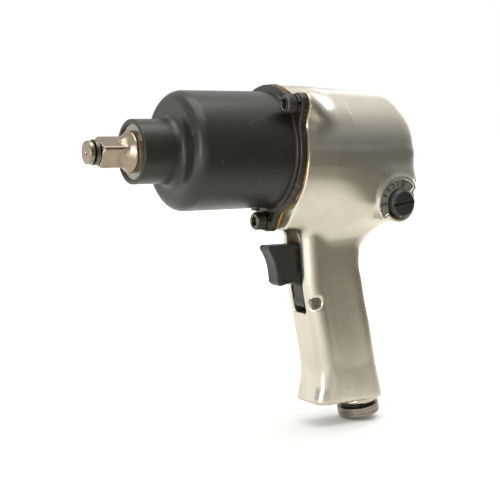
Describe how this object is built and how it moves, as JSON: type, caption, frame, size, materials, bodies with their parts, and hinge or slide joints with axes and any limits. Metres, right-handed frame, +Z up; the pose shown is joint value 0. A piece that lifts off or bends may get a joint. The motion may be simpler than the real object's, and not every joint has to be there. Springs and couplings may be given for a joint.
{
  "type": "impact wrench",
  "caption": "Pistol-grip pneumatic impact wrench: eccentric vane motor, twin rocking hammers, square-drive anvil, lever trigger and rotary regulator.",
  "frame": {"origin": "on the spindle axis, at the shoulder of the square drive where a socket seats", "axes": "+X to the tool's left side (the regulator's side), +Y back along the spindle from the drive to the rear, +Z up, away from the handle"},
  "size_m": [0.0768, 0.1979, 0.1957],
  "materials": {
    "body_aluminium": "satin polished casting",
    "case_black": "semi-matte black coating",
    "bushing_grey": "sintered, dull",
    "gasket_fibre": "oiled fibre sheet",
    "screw_black": "black oxide",
    "washer_steel": "dark spring steel",
    "anvil_steel": "nickel-coloured forged steel",
    "hammer_steel": "hardened, oiled",
    "motor_iron": "machined",
    "rotor_steel": "ground",
    "bearing_steel": "polished",
    "vane_fibre": "phenolic fibre",
    "trigger_black": "moulded",
    "knob_black": "satin moulded",
    "dial_grey": "blasted",
    "rubber_black": "smooth",
    "inlet_steel": "turned",
    "brass": "machined",
    "muffler_felt": "felt",
    "spring_steel": "drawn wire"
  },
  "bodies": {
    "housing": {"motor_housing": "body_aluminium", "hammer_case": "case_black", "hammer_case_bushing": "bushing_grey", "hammer_case_gasket": "gasket_fibre", "hammer_case_screws": "screw_black", "hammer_case_lock_washers": "washer_steel", "grease_plug": "screw_black", "motor_cylinder": "motor_iron", "front_end_plate": "motor_iron", "rear_end_plate": "motor_iron", "cylinder_dowel_pin": "rotor_steel", "front_bearing_outer_race": "bearing_steel", "rear_bearing_outer_race": "bearing_steel", "air_inlet_bushing": "inlet_steel", "inlet_oring": "rubber_black", "inlet_screen": "spring_steel", "exhaust_muffler": "muffler_felt", "exhaust_grille": "washer_steel", "regulator_bushing": "brass", "regulator_dial": "dial_grey", "trigger_pin": "rotor_steel", "trigger_pin_screw": "inlet_steel", "plunger_bushing": "brass", "throttle_seat": "rubber_black", "throttle_spring": "spring_steel"},
    "rotor": {"rotor": "rotor_steel", "front_bearing_inner_race": "bearing_steel", "rear_bearing_inner_race": "bearing_steel", "hammer_frame": "hammer_steel", "hammer_pins": "hammer_steel"},
    "front_bearing_balls": {"front_bearing_balls": "bearing_steel"},
    "rear_bearing_balls": {"rear_bearing_balls": "bearing_steel"},
    "front_hammer": {"front_hammer": "hammer_steel"},
    "rear_hammer": {"rear_hammer": "hammer_steel"},
    "anvil": {"anvil": "anvil_steel", "socket_retaining_ring": "spring_steel", "retaining_ring_oring": "rubber_black"},
    "trigger": {"trigger": "trigger_black"},
    "throttle_plunger": {"throttle_plunger": "rotor_steel"},
    "throttle_valve": {"throttle_valve": "brass"},
    "regulator": {"regulator_valve": "brass", "regulator_knob": "knob_black", "regulator_orings": "rubber_black"},
    "rotor_vane_1": {"rotor_vane_1": "vane_fibre"},
    "rotor_vane_2": {"rotor_vane_2": "vane_fibre"},
    "rotor_vane_3": {"rotor_vane_3": "vane_fibre"},
    "rotor_vane_4": {"rotor_vane_4": "vane_fibre"},
    "rotor_vane_5": {"rotor_vane_5": "vane_fibre"},
    "rotor_vane_6": {"rotor_vane_6": "vane_fibre"}
  },
  "joints": [
    {"name": "rotor_spin", "type": "hinge", "parent": "housing", "child": "rotor", "pos_m": [0, 0.12, 0], "axis": [0, 1, 0], "continuous": true},
    {"name": "anvil_spin", "type": "hinge", "parent": "housing", "child": "anvil", "pos_m": [0, 0.02, 0], "axis": [0, 1, 0], "continuous": true},
    {"name": "front_balls_roll", "type": "hinge", "parent": "housing", "child": "front_bearing_balls", "pos_m": [0, 0.0976, 0], "axis": [0, 1, 0], "continuous": true},
    {"name": "rear_balls_roll", "type": "hinge", "parent": "housing", "child": "rear_bearing_balls", "pos_m": [0, 0.1416, 0], "axis": [0, 1, 0], "continuous": true},
    {"name": "front_hammer_rock", "type": "hinge", "parent": "rotor", "child": "front_hammer", "pos_m": [0, 0.057, 0.0192], "axis": [0, 1, 0], "range_deg": [-2, 2]},
    {"name": "rear_hammer_rock", "type": "hinge", "parent": "rotor", "child": "rear_hammer", "pos_m": [0, 0.075, -0.0192], "axis": [0, 1, 0], "range_deg": [-2, 2]},
    {"name": "trigger_pull", "type": "hinge", "parent": "housing", "child": "trigger", "pos_m": [0, 0.1153, -0.0871], "axis": [-1, 0, 0], "range_deg": [0, 8], "stiffness_Nm_per_rad": 1.2, "springref_deg": -8.59},
    {"name": "plunger_slide", "type": "slide", "parent": "housing", "child": "throttle_plunger", "axis": [0, 1, 0], "range_m": [0, 0.0036]},
    {"name": "throttle_valve_tilt", "type": "hinge", "parent": "housing", "child": "throttle_valve", "pos_m": [0, 0.13524, -0.08958], "axis": [-1, 0, 0], "range_deg": [0, 7.4], "deforming": ["throttle_spring"]},
    {"name": "regulator_turn", "type": "hinge", "parent": "housing", "child": "regulator", "pos_m": [0, 0.157, -0.0305], "axis": [1, 0, 0], "range_deg": [-110, 0]},
    {"name": "vane_1_slide", "type": "slide", "parent": "rotor", "child": "rotor_vane_1", "axis": [0.7071, 0, -0.7071], "range_m": [-0.0038, 0]},
    {"name": "vane_2_slide", "type": "slide", "parent": "rotor", "child": "rotor_vane_2", "axis": [-0.2588, 0, -0.9659], "range_m": [-0.0016, 0]},
    {"name": "vane_3_slide", "type": "slide", "parent": "rotor", "child": "rotor_vane_3", "axis": [0.9659, 0, 0.2588], "range_m": [0, 0.0016]},
    {"name": "vane_4_slide", "type": "slide", "parent": "rotor", "child": "rotor_vane_4", "axis": [0.7071, 0, -0.7071], "range_m": [0, 0.0007]},
    {"name": "vane_5_slide", "type": "slide", "parent": "rotor", "child": "rotor_vane_5", "axis": [-0.2588, 0, -0.9659], "range_m": [0, 0.0001]},
    {"name": "vane_6_slide", "type": "slide", "parent": "rotor", "child": "rotor_vane_6", "axis": [-0.9659, 0, -0.2588], "range_m": [0, 0.0016]}
  ],
  "couplings": [
    {"joint": "anvil_spin", "follows": "rotor_spin", "ratio": 1},
    {"joint": "front_balls_roll", "follows": "rotor_spin", "ratio": 0.394},
    {"joint": "rear_balls_roll", "follows": "rotor_spin", "ratio": 0.394},
    {"joint": "plunger_slide", "follows": "trigger_pull", "m_per_rad": 0.0251},
    {"joint": "throttle_valve_tilt", "follows": "trigger_pull", "ratio": 0.908}
  ]
}
